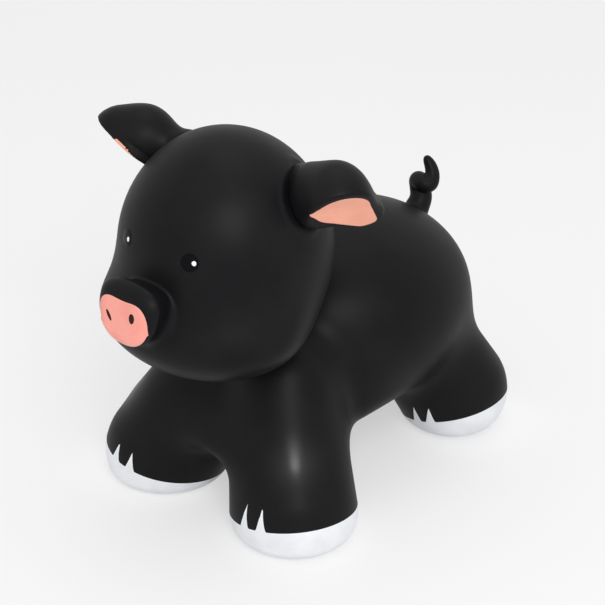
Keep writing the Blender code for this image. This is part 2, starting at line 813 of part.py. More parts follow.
for side, word in ((1, "left"), (-1, "right")):
    eye_start = np.array((side * eye_x, head_y, eye_height))
    eye_seat = seat_on(head_skin, eye_start, forward, 2 * head_half_length)
    eye_frame = surface_frame(head_skin, eye_seat)
    point, outward, right, up = eye_frame
    apply_cut(head, lens("eye_pocket_" + word, eye_frame, eye_radius + seam_gap,
                         eye_depth + seam_gap, eye_steps))
    eye = lens("eye_" + word, eye_frame, eye_radius, eye_depth, eye_steps,
               material("eye_" + word, eye_black, gloss_roughness))
    glint_right = math.cos(glint_spin) * right + math.sin(glint_spin) * up
    glint_frame = (point + eye_depth * outward + glint_shift * right, outward,
                   glint_right, np.cross(outward, glint_right))
    apply_cut(eye, lens("glint_pocket_" + word, glint_frame, glint_radius + seam_gap,
                        glint_depth + seam_gap, glint_steps))
    cleaned(eye)
    lens("glint_" + word, glint_frame, glint_radius, glint_depth, glint_steps,
         material("glint_" + word, glint_white, gloss_roughness))


# Ears

ear_reach = ear_middle_radius * ear_stretch + overrun
ear_low = np.minimum(np.minimum(ear_root, ear_middle), ear_tip) - ear_reach
ear_high = np.maximum(np.maximum(ear_root, ear_middle), ear_tip) + ear_reach
ear_outer = net_over(ear_skin, ear_low, ear_high, ear_facet)
ear_inner = net_over(swollen(ear_skin, -ear_wall), ear_low, ear_high, ear_facet * inner_facet_share)
ear_across = np.cross((0.0, 0.0, 1.0), ear_normal)
ear_across /= np.linalg.norm(ear_across)
ear_face_middle = ear_middle + ear_face_depth * ear_normal
ear_axes = (ear_face_middle, ear_across, np.cross(ear_normal, ear_across), ear_normal)


def lining_outline(border, count=outline_steps):
    """The ear's own outline where its face slices the leaf, drawn in by a border."""
    centre, right, up, outward = ear_axes
    angles = np.arange(count) * 2 * math.pi / count
    reach = np.linspace(0.0, lining_reach_share * ear_middle_radius, ray_steps)
    spokes = np.cos(angles)[:, None] * right + np.sin(angles)[:, None] * up
    samples = centre + reach[None, :, None] * spokes[:, None]
    edge = reach[np.argmax(ear_leaf(samples) > -border, axis=1)]
    return np.stack([edge * np.cos(angles), edge * np.sin(angles)], 1)


ear_clear = room_radius(ear_seam_radius, ear_ball_steps)
ear_room = ball_cutter("ear_room", ear_pivot, ear_clear, ear_ball_steps)
lining_pocket = plate("lining_pocket", lining_outline(lining_border - seam_gap), *ear_axes,
                      -lining_thickness - seam_gap, overrun)

ear_left = shell("ear_left", ear_outer, ear_inner, black("ear_left"))
apply_cut(ear_left, ear_room)
apply_cut(ear_left, lining_pocket)
lining_left = plate("ear_lining_left", lining_outline(lining_border), *ear_axes, -lining_thickness, 0.0,
                    material("ear_lining_left", lining_pink, paint_roughness))
apply_cut(lining_left, ear_room)
twin("ear_right", cleaned(ear_left), black("ear_right"))
twin("ear_lining_right", cleaned(lining_left), material("ear_lining_right", lining_pink, paint_roughness))
for side, word in ((1, "left"), (-1, "right")):
    outer, inner = turned(ear_outer, side), turned(ear_inner, side)
    root = shell("ear_root_" + word, outer, inner, black("ear_root_" + word))
    ear_ball = ball_cutter("ear_ball_" + word, ear_pivot * (side, 1, 1), ear_seam_radius, ear_ball_steps)
    keep_within(root, ear_ball)
    apply_cut(root, head_room)
    apply_cut(head, as_cutter("ear_air_" + word, inner))


# Tail

tail_start = np.array((0.0, rump_y + tail_back, rump_height))
tail_pivot = seat_on(body_skin, tail_start, upward, 2 * rump_half_depth) - tail_pivot_sink * upward


tail_bends = tail_pivot + tail_size * tail_bend_shares[:, :3]
tail_girths = tail_stem_radius * tail_bend_shares[:, 3]


def tail_skin(points):
    """Tapered limbs from bend to bend, run into each other where the loop lies on the stem."""
    nearest = limb(points, tail_bends[0], tail_bends[1], tail_girths[0], tail_girths[1])
    for k in range(1, len(tail_bends) - 1):
        bend = limb(points, tail_bends[k], tail_bends[k + 1], tail_girths[k], tail_girths[k + 1])
        nearest = joined(nearest, bend, tail_blend)
    return nearest


tail_low = tail_bends.min(axis=0) - tail_girths.max() - tail_blend
tail_high = tail_bends.max(axis=0) + tail_girths.max() + tail_blend
tail_net = net_over(tail_skin, tail_low, tail_high, tail_facet)
tail_ball = ball_cutter("tail_ball", tail_pivot, tail_seam_radius, tail_ball_steps)
tail_clear = room_radius(tail_seam_radius, tail_ball_steps)
tail_room = ball_cutter("tail_room", tail_pivot, tail_clear, tail_ball_steps)
tail_root = new_object("tail_root", *tail_net, black("tail_root"))
keep_within(tail_root, tail_ball)
apply_cut(tail_root, body_room)
tail = new_object("tail", *tail_net, black("tail"))
apply_cut(tail, tail_room)


# Air valve

valve_centre = np.array((0.0, valve_y, valve_height))
hole_radius = seat_body_radius + seam_gap
hole_top = overrun + wall
valve_hole = turned_solid("valve_hole", [(0.0, -overrun), (hole_radius, -overrun),
                                         (hole_radius, hole_top), (0.0, hole_top)], valve_centre)
apply_cut(torso, valve_hole)
lip_top = -seam_gap
lip_bottom = lip_top - seat_lip_thickness
turned_solid("valve_seat", [(seat_bore_radius, lip_bottom), (seat_lip_radius, lip_bottom),
                            (seat_lip_radius, lip_top), (seat_body_radius, lip_top),
                            (seat_body_radius, seat_body_height), (seat_bore_radius, seat_body_height)],
             valve_centre, black("valve_seat"))

flange_top = lip_bottom - seam_gap
flange_bottom = flange_top - plug_flange_thickness
plug_profile = [(0.0, flange_bottom), (plug_flange_radius, flange_bottom), (plug_flange_radius, flange_top),
                (plug_barrel_radius, flange_top)]
for rib in range(plug_ribs):
    rib_height = flange_top + plug_rib_pitch * (rib + 1)
    plug_profile += [(plug_barrel_radius, rib_height - plug_rib_pitch / 4), (plug_rib_radius, rib_height),
                     (plug_barrel_radius, rib_height + plug_rib_pitch / 4)]
plug_profile += [(plug_barrel_radius, flange_top + plug_length - plug_barrel_radius / 2),
                 (plug_nose_radius, flange_top + plug_length), (0.0, flange_top + plug_length)]
turned_solid("valve_plug", plug_profile, valve_centre, material("valve_plug", plug_white, paint_roughness))


# Joints: every moving piece hangs from an empty on its joint's axis

def joint_empty(name, place, parent=None):
    made = bpy.data.objects.new(name, None)
    bpy.context.scene.collection.objects.link(made)
    made.location = Vector(place)
    if parent:
        hang(made, parent)
    return made


def hang(child, parent):
    """Parents an object where it already is."""
    child.parent = parent
    child.matrix_parent_inverse = Matrix.Translation(-parent.location)


bounce = joint_empty("bounce", (0.0, 0.0, 0.0))
neck_hinge = joint_empty("neck_hinge", neck_pivot, bounce)
tail_hinge = joint_empty("tail_hinge", tail_pivot, bounce)
plug_slide = joint_empty("plug_slide", valve_centre, bounce)
groups = {
    bounce: ["torso", "tail_root", "valve_seat"],
    neck_hinge: ["neck", "head", "muzzle", "snout_pad", "nostril_left", "nostril_right",
                 "eye_left", "eye_right", "glint_left", "glint_right", "ear_root_left", "ear_root_right"],
    tail_hinge: ["tail"],
    plug_slide: ["valve_plug"],
}
for side, word in ((1, "left"), (-1, "right")):
    ear_hinge = joint_empty("ear_hinge_" + word, ear_pivot * (side, 1, 1), neck_hinge)
    groups[ear_hinge] = ["ear_" + word, "ear_lining_" + word]
for hinge, names in groups.items():
    for name in names:
        hang(bpy.data.objects[name], hinge)

for piece in bpy.context.scene.objects:
    if piece.type == "MESH" and not piece.hide_render and "weld" not in piece.modifiers:
        cleaned(piece)
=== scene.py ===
import math

import bpy
import numpy as np
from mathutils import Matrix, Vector


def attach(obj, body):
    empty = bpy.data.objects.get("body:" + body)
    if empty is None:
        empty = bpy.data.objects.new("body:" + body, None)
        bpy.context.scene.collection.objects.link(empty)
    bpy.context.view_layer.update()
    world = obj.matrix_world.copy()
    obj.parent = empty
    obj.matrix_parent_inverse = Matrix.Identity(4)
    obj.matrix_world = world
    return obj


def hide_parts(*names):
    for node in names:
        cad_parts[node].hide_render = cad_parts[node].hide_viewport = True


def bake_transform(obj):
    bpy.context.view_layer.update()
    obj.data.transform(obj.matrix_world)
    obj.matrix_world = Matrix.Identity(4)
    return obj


# A bouncy ride-on piglet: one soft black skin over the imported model, with its painted parts.
# Shapes are worked out in millimetres; the piglet faces -Y, its left is +X, and it stands on z = 0.
# Finishes, floor, lamps and camera are in metres.

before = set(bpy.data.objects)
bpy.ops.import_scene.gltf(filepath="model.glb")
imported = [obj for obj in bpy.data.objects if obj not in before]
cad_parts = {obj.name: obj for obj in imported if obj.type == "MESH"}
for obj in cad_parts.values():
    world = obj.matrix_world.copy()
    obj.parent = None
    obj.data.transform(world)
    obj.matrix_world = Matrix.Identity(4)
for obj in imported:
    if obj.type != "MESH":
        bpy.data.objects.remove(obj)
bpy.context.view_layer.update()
millimetre = 0.001
bothSides = ((1, "left"), (-1, "right"))
print("frame loaded:", len(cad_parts), "solids")


# Distances: each shape gives, for an array of points, how far they are outside it

def unit(vectors):
    # vectors divided by their own lengths
    return vectors / np.linalg.norm(vectors, axis=-1, keepdims=True)


def joined(a, b, blend):
    # smaller of two distances, with a fillet as wide as blend where they are equal
    share = np.clip(0.5 + 0.5 * (b - a) / blend, 0.0, 1.0)
    return b + (a - b) * share - blend * share * (1.0 - share)


def trimmed(a, b, blend):
    # larger of two distances, rounded the same way
    return -joined(-a, -b, blend)


def egg(points, centre, halves):
    # ellipsoid: |p/h| (|p/h| - 1) / |p/h^2| is close to the distance from its surface
    offset = points - np.array(centre)
    near = np.linalg.norm(offset / halves, axis=-1)
    slope = np.linalg.norm(offset / np.array(halves) ** 2, axis=-1)
    return near * (near - 1.0) / np.maximum(slope, 1e-9)


def limb(points, start, end, startRadius, endRadius):
    # two balls and the cone that touches both
    start, end = np.array(start, float), np.array(end, float)
    along = end - start
    lengthSquared = along @ along
    taper = startRadius - endRadius
    straight = lengthSquared - taper * taper
    offset = points - start
    y = offset @ along
    z = y - lengthSquared
    across = ((offset * lengthSquared - y[..., None] * along) ** 2).sum(-1)
    side = np.sign(taper) * taper * taper * across
    pastEnd = np.sign(z) * straight * z * z * lengthSquared > side
    beforeStart = np.sign(y) * straight * y * y * lengthSquared < side
    cone = (np.sqrt(across * straight / lengthSquared) + y * taper) / lengthSquared - startRadius
    startBall = np.linalg.norm(offset, axis=-1) - startRadius
    endBall = np.linalg.norm(points - end, axis=-1) - endRadius
    return np.where(beforeStart & ~pastEnd, startBall, np.where(pastEnd, endBall, cone))


# Body: chest and rump eggs, four tapered legs, a flattened belly and flat soles

body = {
    "chest": (0.0, 0.0, 65.0), "chestHalves": (110.0, 165.0, 97.0),
    "rump": (0.0, 106.0, 171.0), "rumpHalves": (141.0, 159.5, 120.0), "waistBlend": 47.0,
    "belly": 80.0, "bellyBlend": 35.0, "legBlend": 30.0, "valley": 16.0, "soleBlend": 16.0,
    "frontHip": (47.0, -62.0, 148.0), "frontFoot": (99.5, -108.5, 28.0), "frontRadii": (60.0, 71.5),
    "rearHip": (42.5, 154.5, 154.0), "rearFoot": (94.5, 195.0, 45.5), "rearRadii": (61.5, 68.0),
    "knee": (121.4, -134.0, 102.0), "kneeRise": 3.0, "kneeWidth": 22.0,
    "tailFoot": (0.5, 231.0, 228.0), "tailTop": (1.5, 239.0, 246.0), "tailRadius": 14.2, "tailBlend": 7.0,
}


def bodyShape(points):
    # both sides folded onto x = sqrt(x^2 + valley^2), so one leg of each pair serves for two
    folded = points.copy()
    folded[..., 0] = np.sqrt(folded[..., 0] ** 2 + body["valley"] ** 2)
    chest = egg(points, body["chest"], body["chestHalves"])
    rump = egg(points, body["rump"], body["rumpHalves"])
    torso = joined(chest, rump, body["waistBlend"])
    torso = trimmed(torso, body["belly"] - points[..., 2], body["bellyBlend"])
    # the front of each front leg is a little full: a bell-shaped rise round the knee
    front = limb(folded, body["frontHip"], body["frontFoot"], *body["frontRadii"])
    front -= body["kneeRise"] * np.exp(-((folded - body["knee"]) ** 2).sum(-1) / body["kneeWidth"] ** 2)
    rear = limb(folded, body["rearHip"], body["rearFoot"], *body["rearRadii"])
    whole = joined(torso, np.minimum(front, rear), body["legBlend"])
    whole = trimmed(whole, -points[..., 2], body["soleBlend"])
    stub = limb(points, body["tailFoot"], body["tailTop"], body["tailRadius"], body["tailRadius"])
    return joined(whole, stub, body["tailBlend"])


# Head: a skull egg, full jowls, and a short boxy barrel of a muzzle turned up a little

head = {
    "skull": (0.0, -105.5, 325.0), "skullHalves": (117.6, 119.0, 134.5),
    "jowls": (0.0, -152.0, 259.6), "jowlHalves": (121.0, 88.5, 54.0), "jowlBlend": 46.0,
    "muzzle": (0.0, -268.0, 307.5), "muzzleHalves": (40.0, 35.6), "muzzleLength": 84.0, "muzzleTip": -10.0,
    "muzzlePower": 2.5, "muzzleTaper": 0.18, "muzzleRim": 14.8,
    # the muzzle narrows by this share of its size for each millimetre further back, from start to end
    "waist": 0.008, "waistStart": 12.0, "waistEnd": 72.0,
    # its fillet into the face, at and above the first height, and at and below the second
    "muzzleBlend": (6.0, 20.0), "blendHeights": (318.0, 288.0),
    "neckCrease": 5.0, "collarRise": 1.5, "collarReach": 6.0, "collarWidth": 4.5,
}
tip = math.radians(head["muzzleTip"])
muzzleOut = np.array((0.0, -math.cos(tip), -math.sin(tip)))
muzzleUp = np.array((0.0, -math.sin(tip), math.cos(tip)))
muzzleRight = np.array((1.0, 0.0, 0.0))
muzzleCentre = np.array(head["muzzle"])


def muzzleSection(across, up, share=1.0):
    # 0 on the muzzle's axis, 1 on its outline: (|x/w|^p + |y/h|^p)^(1/p), where w is less further down
    wide, high = head["muzzleHalves"]
    power = head["muzzlePower"]
    y = up / (high * share)
    x = across / (wide * share * (1.0 + head["muzzleTaper"] * np.clip(y, -1.0, 1.0)))
    return (np.abs(x) ** power + np.abs(y) ** power) ** (1.0 / power)


def muzzleShape(points):
    # a barrel that narrows towards its root: distance in the section's plane and along its axis, rounded
    # where both end
    offset = points - muzzleCentre
    ahead = offset @ muzzleOut
    behind = np.clip(-ahead - head["waistStart"], 0.0, head["waistEnd"] - head["waistStart"])
    section = muzzleSection(offset[..., 0], offset @ muzzleUp, 1.0 - head["waist"] * behind)
    radial = (section - 1.0) * min(head["muzzleHalves"]) + head["muzzleRim"]
    axial = np.abs(ahead + head["muzzleLength"] / 2) - head["muzzleLength"] / 2 + head["muzzleRim"]
    corner = np.hypot(np.maximum(radial, 0.0), np.maximum(axial, 0.0))
    return np.minimum(np.maximum(radial, axial), 0.0) + corner - head["muzzleRim"]


def skullShape(points):
    # the muzzle meets the face in a crease above, and runs into the cheeks in a wide fillet below
    skull = egg(points, head["skull"], head["skullHalves"])
    jowls = egg(points, head["jowls"], head["jowlHalves"])
    upper, lower = head["blendHeights"]
    tight, wide = head["muzzleBlend"]
    low = np.clip((upper - points[..., 2]) / (upper - lower), 0.0, 1.0)
    return joined(joined(skull, jowls, head["jowlBlend"]), muzzleShape(points), tight + (wide - tight) * low)


# Ears: each is a leaf of swellings linked in pairs, with a rim, dished on the side that carries the lining;
# a link names two swellings and how softly it joins those before it

ears = {
    "left": {
        "places": ((81.1, -70.6, 410.7), (113.0, -84.5, 411.7), (142.0, -87.0, 416.1), (147.6, -54.0, 391.7)),
        "radii": (19.5, 28.0, 33.2, 23.0), "links": ((0, 1, 12.3), (1, 2, 12.3), (2, 3, 12.3)),
        "stretch": 1.233, "facing": (0.613, -0.391, -0.596), "faceDepth": 11.2,
        "rimBlend": 4.9, "groove": 0.3, "roll": 0.4, "liningBorder": 1.2,
        "liningPlaces": ((-32.0, -1.0), (2.0, -0.5), (34.5, -34.5)), "liningRadii": (2.0, 28.2, 12.0),
    },
    "right": {
        "places": ((79.0, -81.0, 407.7), (128.9, -91.6, 397.3), (135.0, -98.0, 411.2), (159.5, -110.0, 417.0),
                   (158.0, -55.0, 402.9)),
        "radii": (20.8, 26.7, 30.1, 25.4, 20.5),
        "links": ((0, 1, 22.0), (1, 2, 22.0), (2, 3, 22.0), (2, 4, 4.0)),
        "stretch": 1.156, "facing": (0.488, -0.486, -0.907), "faceDepth": 9.2,
        "rimBlend": 3.0, "groove": 3.0, "roll": 1.2, "liningBorder": -0.6,
        "liningPlaces": ((-14.0, -16.0), (-8.0, 0.0), (42.0, -16.0)), "liningRadii": (14.0, 31.0, 13.0),
    },
    "dish": 3.5, "dishSpread": 24.0, "rollWidth": 4.0, "grooveDepth": 10.0, "grooveWidth": 3.6,
    "rimStart": 14.0, "rimFull": 28.0, "rimFade": 56.0, "rimEnd": 72.0, "liningBlend": 1.5,
    "pivot": (86.7, -81.9, 408.2), "flexStart": 1.0, "flexLength": 26.0,
    # the net round an ear: its step, and how far past each swelling it reaches
    "facet": 2.0, "netShare": 1.3, "netMargin": 8.0,
}


def newEar(sizes):
    # an ear's distances and directions, all on the +X side: the right ear is mirrored once it is made;
    # its lining is a leaf of three balls, whose places are across and up from the middle of the face
    places, radii = np.array(sizes["places"]), sizes["radii"]
    root, middle = places[0], places[2]
    normal = unit(np.array(sizes["facing"]))
    across = unit(np.cross((0.0, 0.0, 1.0), normal))
    up = np.cross(normal, across)

    def squeezed(place):
        # the shape is measured in a space squeezed along the ear's facing, which stretches it that way
        depth = (place - root) @ normal
        return place + (1.0 / sizes["stretch"] - 1.0) * depth[..., None] * normal

    def face(points):
        # a plane across the leaf, pushed in by a bell-shaped dish
        offset = points - middle
        spread = ((offset @ across) ** 2 + (offset @ up) ** 2) / ears["dishSpread"] ** 2
        return offset @ normal - sizes["faceDepth"] + ears["dish"] * np.exp(-spread)

    def leaf(points):
        # the links joined one after another, starting from nothing near
        place, swellings = squeezed(points), squeezed(places)
        whole = np.full(place.shape[:-1], 1e3)
        for near, far, blend in sizes["links"]:
            link = limb(place, swellings[near], swellings[far], radii[near], radii[far])
            whole = joined(whole, link, blend)
        return whole

    def shape(points):
        # between the root and the tip the rim swells beside the face, with a groove behind it
        depth = -face(points)
        away = np.linalg.norm(points - root, axis=-1)
        fading = np.clip((ears["rimEnd"] - away) / (ears["rimEnd"] - ears["rimFade"]), 0.0, 1.0)
        growing = np.clip((away - ears["rimStart"]) / (ears["rimFull"] - ears["rimStart"]), 0.0, 1.0)
        roll = sizes["roll"] * np.exp(-(depth / ears["rollWidth"]) ** 2)
        groove = sizes["groove"] * np.exp(-((depth - ears["grooveDepth"]) / ears["grooveWidth"]) ** 2)
        return trimmed(leaf(points) - fading * growing * (roll - groove), -depth, sizes["rimBlend"])

    def lining(points):
        # distance in the face's plane from the three balls and the cones between them
        offset = points - middle
        flat = np.stack([offset @ across, offset @ up, np.zeros(offset.shape[:-1])], -1)
        first, second, third = [(*spot, 0.0) for spot in sizes["liningPlaces"]]
        firstRadius, secondRadius, thirdRadius = sizes["liningRadii"]
        inner = limb(flat, first, second, firstRadius, secondRadius)
        outer = limb(flat, second, third, secondRadius, thirdRadius)
        return joined(inner, outer, ears["liningBlend"])

    faceCentre = middle + sizes["faceDepth"] * normal
    return {"leaf": leaf, "shape": shape, "lining": lining, "places": places, "radii": np.array(radii),
            "face": (faceCentre, across, up, normal), "border": sizes["liningBorder"]}


earOf = {word: newEar(ears[word]) for word in ("left", "right")}
earPivot = np.array(ears["pivot"])
earAxis = unit(earOf["left"]["places"][2] - earOf["left"]["places"][0])


def headShape(points):
    # the skull with a low collar of skin round each ear, highest a little way off the ear
    rise = 0.0
    for side, word in bothSides:
        off = earOf[word]["leaf"](points * (side, 1.0, 1.0))
        rise = rise + head["collarRise"] * np.exp(-((off - head["collarReach"]) / head["collarWidth"]) ** 2)
    return skullShape(points) - rise


def skinShape(points):
    # the moulded skin without its ears: body and head meet in a tight crease
    return joined(bodyShape(points), headShape(points), head["neckCrease"])


# Nets: a surface where a distance is zero, in quads

net = {
    "block": 120000,  # points worked out at a time
    "nudge": 0.2, "leastSlope": 0.2,
    "margin": 1.5,  # facets past the shape's box
    "rounds": 2, "smoothing": 0.5, "settling": 3,
}


def inBlocks(shape, points):
    # a shape's distances at many points, worked out a block at a time
    blocks = np.array_split(points, len(points) // net["block"] + 1)
    return np.concatenate([shape(part) for part in blocks])


def slopeOf(shape, points):
    # how fast a distance grows along x, y and z: its change over a small nudge either way
    nudges = np.eye(3) * net["nudge"]
    changes = [inBlocks(shape, points + nudge) - inBlocks(shape, points - nudge) for nudge in nudges]
    return np.stack(changes, -1) / (2 * net["nudge"])


def settled(points, shape, passes):
    # each pass moves every point down the slope by its own distance
    for _ in range(passes):
        slope = slopeOf(shape, points)
        steep = np.maximum((slope ** 2).sum(-1), net["leastSlope"])
        points = points - (inBlocks(shape, points) / steep)[:, None] * slope
    return points


def netOver(shape, low, high, facet):
    # a point for each grid cell that the surface crosses, a quad for each grid edge that it crosses
    low, high = np.array(low) - net["margin"] * facet, np.array(high) + net["margin"] * facet
    counts = np.ceil((high - low) / facet).astype(int) + 1
    grid = np.stack(np.meshgrid(*(np.arange(count) for count in counts), indexing="ij"), -1)
    value = inBlocks(shape, (low + grid * facet).reshape(-1, 3)).reshape(counts)
    total, crossings, quads = np.zeros((value.size, 3)), np.zeros(value.size), []
    for axis in range(3):
        step, across, up = (np.eye(3, dtype=int)[(axis + turn) % 3] for turn in range(3))
        before = np.argwhere(np.diff(np.signbit(value), axis=axis))
        first, second = value[tuple(before.T)], value[tuple((before + step).T)]
        place = low + facet * (before + (first / (first - second))[:, None] * step)
        around = [before - across - up, before - up, before, before - across]
        cells = np.stack([np.ravel_multi_index(cell.T, counts) for cell in around], 1)
        for corner in range(4):
            for column in range(3):
                total[:, column] += np.bincount(cells[:, corner], place[:, column], value.size)
            crossings += np.bincount(cells[:, corner], minlength=value.size)
        quads.append(np.where((first < 0)[:, None], cells, cells[:, ::-1]))
    used, quads = np.unique(np.concatenate(quads), return_inverse=True)
    quads = quads.reshape(-1, 4)
    points = total[used] / crossings[used][:, None]
    # each round settles the points, then moves them part of the way to the middle of their neighbours
    edges = np.concatenate([quads[:, [k, (k + 1) % 4]] for k in range(4)])
    neighbours = np.bincount(edges.ravel(), minlength=len(points))[:, None]
    for _ in range(net["rounds"]):
        points = settled(points, shape, 1)
        sums = np.zeros_like(points)
        for column in range(3):
            sums[:, column] = (np.bincount(edges[:, 0], points[edges[:, 1], column], len(points))
                               + np.bincount(edges[:, 1], points[edges[:, 0], column], len(points)))
        points = (1.0 - net["smoothing"]) * points + net["smoothing"] * sums / neighbours
    return settled(points, shape, net["settling"]), quads


def keptFaces(points, quads, wanted):
    # the quads whose middle is wanted, with the points that they use
    quads = quads[wanted(points[quads].mean(1))]
    used, quads = np.unique(quads, return_inverse=True)
    return points[used], quads.reshape(-1, 4)


# Pieces

def newPiece(name, points, faces, material, normals=None):
    # a smooth mesh from points in millimetres, lists of faces and, where given, a normal at each point
    mesh = bpy.data.meshes.new(name)
    mesh.from_pydata((points * millimetre).tolist(), [], faces)
    mesh.shade_smooth()
    if normals is not None:
        mesh.normals_split_custom_set_from_vertices(normals.tolist())
    mesh.materials.append(material)
    piece = bpy.data.objects.new(name, mesh)
    bpy.context.scene.collection.objects.link(piece)
    return piece


def mirroredPiece(name, points, faces, material, normals, side):
    # a piece made on the +X side: where side is -1 it is mirrored in x and its faces are turned over
    return newPiece(name, points * (side, 1, 1), [face[::side] for face in faces], material,
                    normals * (side, 1, 1))


def skinPiece(name, points, quads, shape):
    # shaded by the slope of the distance itself, so that neighbouring pieces match at their seam
    return newPiece(name, points, quads.tolist(), skinRubber, unit(slopeOf(shape, points)))


def gridFaces(rows, columns, closed=True):
    # quads between neighbouring rows; closed joins the last column to the first
    row = np.arange(rows - 1)[:, None] * columns
    column = np.arange(columns if closed else columns - 1)[None]
    after = (column + 1) % columns
    corners = [row + column, row + after, row + columns + after, row + columns + column]
    return np.stack(corners, -1).reshape(-1, 4).tolist()


def fanFaces(first, count, middle):
    # triangles from a ring of points, the first of which is given, to one point in its middle
    column = np.arange(count)
    return np.stack([first + column, first + (column + 1) % count, np.full(count, middle)], 1).tolist()


# Shader maths in Python: an operator on a wire adds a Math node

class Wire:
    def __init__(self, tree, socket):
        self.tree, self.socket = tree, socket

    def add(self, kind, settings=None, inputs=None, output=0):
        # any node: its settings first, then its sockets' values or links
        node = self.tree.nodes.new(kind)
        for name, value in (settings or {}).items():
            setattr(node, name, value)
        for name, value in (inputs or {}).items():
            if isinstance(value, Wire):
                self.tree.links.new(value.socket, node.inputs[name])
            else:
                node.inputs[name].default_value = value
        return Wire(self.tree, node.outputs[output])

    def maths(self, operation, first, second=0.0):
        return self.add("ShaderNodeMath", {"operation": operation}, {0: first, 1: second})

    def __add__(self, other):
        return self.maths("ADD", self, other)

    def __mul__(self, other):
        return self.maths("MULTIPLY", self, other)

    def __pow__(self, other):
        return self.maths("POWER", self, other)

    __radd__, __rmul__ = __add__, __mul__

    def noise(self, scale, detail=3.0):
        return self.add("ShaderNodeTexNoise", {}, {"Vector": self, "Scale": scale, "Detail": detail})

    def between(self, low, high):
        # 0 below low, 1 above high, straight between
        return self.add("ShaderNodeMapRange", {}, {"Value": self, "From Min": low, "From Max": high})

    def mix(self, first, second):
        # first where this wire is 0, second where it is 1
        return self.add("ShaderNodeMix", {"data_type": "RGBA"}, {0: self, 6: first, 7: second}, 2)


def newMaterial(name):
    # a plain Principled material, its shader node, and a wire with its Object coordinates
    material = bpy.data.materials.new(name)
    material.use_nodes = True
    tree = material.node_tree
    shader = tree.nodes["Principled BSDF"]
    coordinates = tree.nodes.new("ShaderNodeTexCoord")
    return material, shader, Wire(tree, coordinates.outputs["Object"])


def feed(shader, wires):
    # a wire into each named socket
    for name, wire in wires.items():
        wire.tree.links.new(wire.socket, shader.inputs[name])


def bumped(height, strength, distance):
    # a normal tilted by the slope of a height
    return height.add("ShaderNodeBump", {}, {"Height": height, "Strength": strength, "Distance": distance})


# a cloud, speck, grain, peel or wave is a noise's scale and detail; a span is where it counts from and up to
rubber = {
    "shade": (0.0052, 0.0052, 0.0061, 1), "worn": (0.0088, 0.0085, 0.0094, 1), "dust": (0.05, 0.05, 0.052, 1),
    "roughness": 0.45, "specular": 0.10,
    "cloud": (14.0, 4.0), "cloudSpan": (0.38, 0.68), "cloudRoughness": 0.09,
    "speck": (420.0, 1.0), "speckSpan": (0.79, 0.84), "speckShare": 0.5,
    "peel": (260.0, 2.0), "peelShare": 0.35, "wave": (34.0, 2.0), "bump": (0.22, 0.0006),
    "coat": 0.025, "coatRoughness": 0.31, "rubbed": 0.66, "knee": (0.119, -0.131, 0.104), "kneeWidth": 0.021,
}


def blackRubber(name):
    # a near-black vinyl with cloudy tone, a fine orange-peel bump and a few specks of dust
    material, shader, place = newMaterial(name)
    cloud = place.noise(*rubber["cloud"]).between(*rubber["cloudSpan"])
    speck = place.noise(*rubber["speck"]).between(*rubber["speckSpan"])
    peel, wave = place.noise(*rubber["peel"]), place.noise(*rubber["wave"])
    # the coat is thickest on the front knees: exp(-(d/w)^2), where d is the distance from either knee; it is
    # kept to the front half, where y is below 0
    either = place.add("ShaderNodeVectorMath", {"operation": "ABSOLUTE"}, {0: place})
    knee = place.add("ShaderNodeVectorMath", {"operation": "ABSOLUTE"}, {0: rubber["knee"]})
    away = either.add("ShaderNodeVectorMath", {"operation": "DISTANCE"}, {0: either, 1: knee}, 1)
    away = (away * (1.0 / rubber["kneeWidth"])) ** 2.0 * -1.0
    y = place.add("ShaderNodeSeparateXYZ", {}, {0: place}, 1)
    bell = away.maths("EXPONENT", away) * y.maths("LESS_THAN", y, 0.0)
    clean = cloud.mix(rubber["shade"], rubber["worn"])
    feed(shader, {
        "Coat Weight": bell * rubber["rubbed"] + rubber["coat"],
        "Base Color": (speck * rubber["speckShare"]).mix(clean, rubber["dust"]),
        "Roughness": cloud * rubber["cloudRoughness"] + rubber["roughness"],
        "Normal": bumped(peel * rubber["peelShare"] + wave, *rubber["bump"]),
    })
    shader.inputs["Specular IOR Level"].default_value = rubber["specular"]
    shader.inputs["Coat Roughness"].default_value = rubber["coatRoughness"]
    return material


paints = {
    "cloud": (38.0, 4.0), "cloudSpan": (0.42, 0.75), "cloudRoughness": 0.08, "grain": (520.0, 2.0),
    "bump": (0.12, 0.0004),
    "snoutPink": {"shade": (0.93, 0.366, 0.296, 1), "worn": (0.86, 0.30, 0.235, 1), "roughness": 0.48},
    # the ear linings are the snout's pink paint made lighter: painted light, standing in for the bounce light
    # that their downward faces miss
    "liningPinkLightened": {"shade": (0.97, 0.44, 0.31, 1), "worn": (0.93, 0.385, 0.26, 1), "roughness": 0.50},
    "hoofWhite": {"shade": (0.84, 0.86, 0.88, 1), "worn": (0.76, 0.77, 0.79, 1), "roughness": 0.46},
    "nostrilDark": {"shade": (0.024, 0.009, 0.008, 1), "worn": (0.040, 0.016, 0.013, 1), "roughness": 0.6,
                    "specular": 0.1},
    "plugWhite": {"shade": (0.78, 0.78, 0.75, 1), "worn": (0.70, 0.69, 0.65, 1), "roughness": 0.42},
}


def softPaint(name, shade, worn, roughness, specular=0.5):
    # a satin paint that thins a little in patches, with a faint brushed-on unevenness
    material, shader, place = newMaterial(name)
    cloud = place.noise(*paints["cloud"]).between(*paints["cloudSpan"])
    feed(shader, {
        "Base Color": cloud.mix(shade, worn),
        "Roughness": cloud * paints["cloudRoughness"] + roughness,
        "Normal": bumped(place.noise(*paints["grain"]), *paints["bump"]),
    })
    shader.inputs["Specular IOR Level"].default_value = specular
    return material


